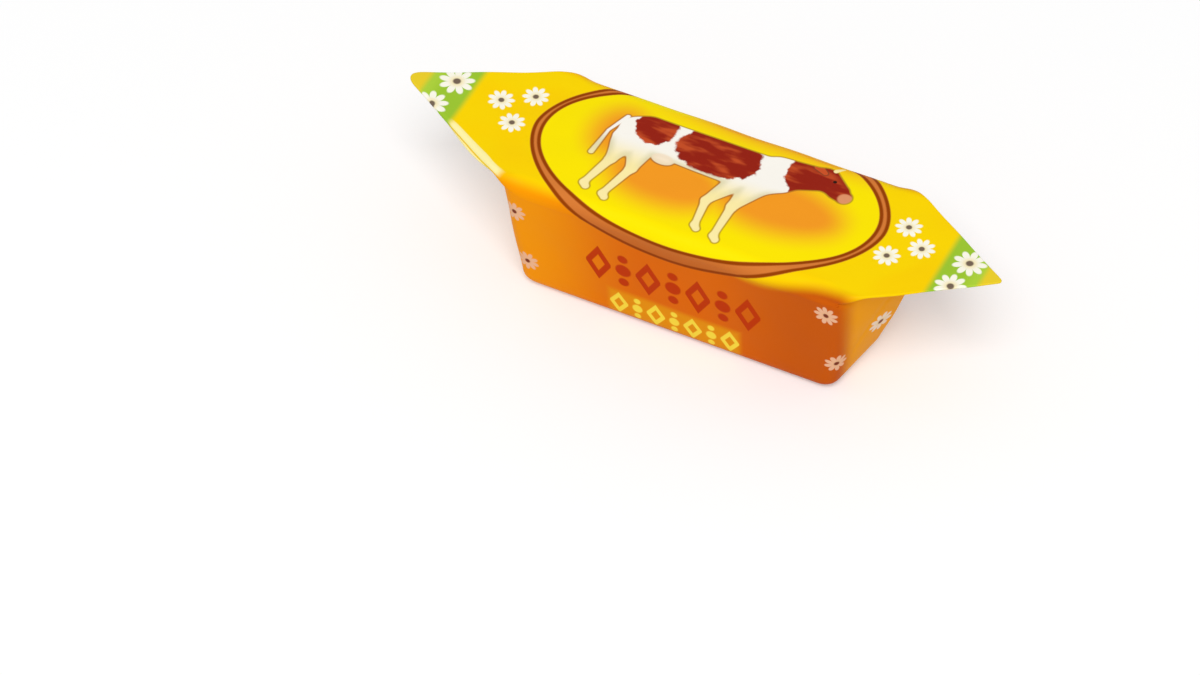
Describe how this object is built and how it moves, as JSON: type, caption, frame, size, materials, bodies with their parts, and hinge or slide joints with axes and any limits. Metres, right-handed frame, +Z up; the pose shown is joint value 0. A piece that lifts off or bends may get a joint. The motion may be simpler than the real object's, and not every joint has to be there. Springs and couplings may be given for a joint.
{
  "type": "wrapped caramel candy",
  "caption": "Caramel bar in a folded, printed paper wrapper with a broad flat top, leaning sides and a thin pointed ear at each end.",
  "frame": {"origin": "under the middle of the whole piece, on the surface it rests on", "axes": "+X along the candy from ear point to ear point, towards the shorter ear; +Z up through the broad printed top"},
  "size_m": [0.0698, 0.0186, 0.017],
  "materials": {
    "printed_paper": "waxed printed paper, satin"
  },
  "bodies": {
    "root": {"wrapped_caramel": "printed_paper"}
  },
  "joints": []
}
